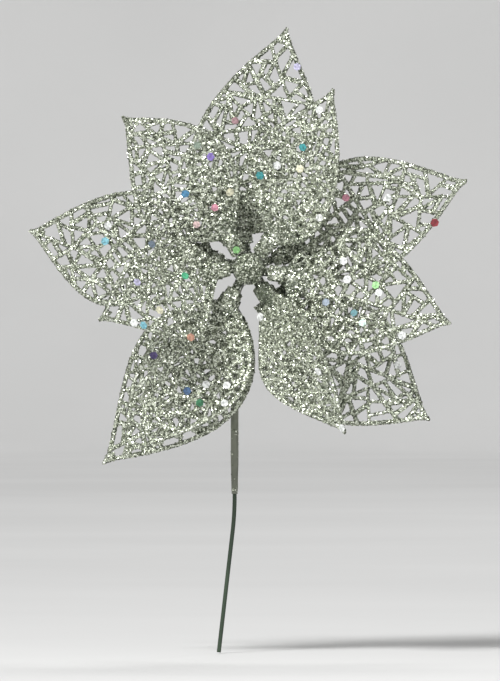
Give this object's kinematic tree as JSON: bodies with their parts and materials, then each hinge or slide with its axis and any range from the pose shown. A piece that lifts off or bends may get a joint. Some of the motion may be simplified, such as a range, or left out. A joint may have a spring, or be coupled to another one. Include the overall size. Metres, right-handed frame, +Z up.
{
  "type": "glitter poinsettia pick",
  "caption": "Glittered lattice poinsettia on a wire stem: tiers of pointed openwork petals plug on the arms of stacked spiders and turn there; the head swivels on the wire.",
  "frame": {"origin": "centre of the wire's cut lower end", "axes": "+Z up towards the flower, the flower faces -Y, +X to the right seen from the front"},
  "size_m": [0.151, 0.0626, 0.216],
  "materials": {
    "silver_glitter": "moulded plastic under coarse silver glitter",
    "silver_sleeve": "plastic tube with thin silver overspray",
    "grey_moulding": "moulded plastic with thin silver overspray",
    "green_coat": "extruded green plastic",
    "steel_core": "drawn wire, cut end"
  },
  "bodies": {
    "stem": {"wire_core": "steel_core", "wire_coat": "green_coat"},
    "head": {"stem_sleeve": "silver_sleeve", "calyx_peg": "grey_moulding", "centre_button": "silver_glitter"},
    "rear_tier": {"rear_spider": "silver_glitter"},
    "front_tier": {"front_spider": "silver_glitter"},
    "rear_petal_top": {"rear_petal_top": "silver_glitter"},
    "rear_petal_right": {"rear_petal_right": "silver_glitter"},
    "rear_petal_lower_right": {"rear_petal_lower_right": "silver_glitter"},
    "rear_petal_lower_left": {"rear_petal_lower_left": "silver_glitter"},
    "rear_petal_left": {"rear_petal_left": "silver_glitter"},
    "front_petal_top": {"front_petal_top": "silver_glitter"},
    "front_petal_right": {"front_petal_right": "silver_glitter"},
    "front_petal_lower_right": {"front_petal_lower_right": "silver_glitter"},
    "front_petal_lower_left": {"front_petal_lower_left": "silver_glitter"},
    "front_petal_left": {"front_petal_left": "silver_glitter"},
    "front_petal_upper_left": {"front_petal_upper_left": "silver_glitter"}
  },
  "joints": [
    {"name": "head_swivel", "type": "hinge", "parent": "stem", "child": "head", "pos_m": [0.0055, 0, 0.055], "axis": [0, 0, 1], "continuous": true},
    {"name": "rear_tier_turn", "type": "hinge", "parent": "head", "child": "rear_tier", "pos_m": [0.0103, -0.0198, 0.1331], "axis": [0, -1, 0], "range_deg": [-12, 12]},
    {"name": "front_tier_turn", "type": "hinge", "parent": "head", "child": "front_tier", "pos_m": [0.0103, -0.0247, 0.1331], "axis": [0, -1, 0], "range_deg": [-12, 12]},
    {"name": "rear_top_twist", "type": "hinge", "parent": "rear_tier", "child": "rear_petal_top", "pos_m": [0.0103, -0.0198, 0.1331], "axis": [-0.1214, -0.0872, 0.9888], "range_deg": [-12, 12]},
    {"name": "rear_right_twist", "type": "hinge", "parent": "rear_tier", "child": "rear_petal_right", "pos_m": [0.0103, -0.0198, 0.1331], "axis": [0.9345, -0.1045, 0.3401], "range_deg": [-12, 12]},
    {"name": "rear_lower_right_twist", "type": "hinge", "parent": "rear_tier", "child": "rear_petal_lower_right", "pos_m": [0.0103, -0.0198, 0.1331], "axis": [0.6419, -0.0523, -0.765], "range_deg": [-6, 12]},
    {"name": "rear_lower_left_twist", "type": "hinge", "parent": "rear_tier", "child": "rear_petal_lower_left", "pos_m": [0.0103, -0.0198, 0.1331], "axis": [-0.4695, 0, -0.8829], "range_deg": [-12, 12]},
    {"name": "rear_left_twist", "type": "hinge", "parent": "rear_tier", "child": "rear_petal_left", "pos_m": [0.0103, -0.0198, 0.1331], "axis": [-0.965, -0.1045, 0.2406], "range_deg": [-12, 12]},
    {"name": "front_top_twist", "type": "hinge", "parent": "front_tier", "child": "front_petal_top", "pos_m": [0.0103, -0.0247, 0.1331], "axis": [0.5708, -0.3746, 0.7306], "range_deg": [-12, 12]},
    {"name": "front_right_twist", "type": "hinge", "parent": "front_tier", "child": "front_petal_right", "pos_m": [0.0103, -0.0247, 0.1331], "axis": [0.9354, -0.2924, -0.1988], "range_deg": [-12, 12]},
    {"name": "front_lower_right_twist", "type": "hinge", "parent": "front_tier", "child": "front_petal_lower_right", "pos_m": [0.0103, -0.0247, 0.1331], "axis": [0.4976, -0.4067, -0.7662], "range_deg": [-6, 12]},
    {"name": "front_lower_left_twist", "type": "hinge", "parent": "front_tier", "child": "front_petal_lower_left", "pos_m": [0.0103, -0.0247, 0.1331], "axis": [-0.5183, -0.2079, -0.8295], "range_deg": [-12, 12]},
    {"name": "front_left_twist", "type": "hinge", "parent": "front_tier", "child": "front_petal_left", "pos_m": [0.0103, -0.0247, 0.1331], "axis": [-0.807, -0.5878, -0.0564], "range_deg": [-12, 12]},
    {"name": "front_upper_left_twist", "type": "hinge", "parent": "front_tier", "child": "front_petal_upper_left", "pos_m": [0.0103, -0.0247, 0.1331], "axis": [-0.4913, -0.3746, 0.7863], "range_deg": [-12, 12]}
  ]
}
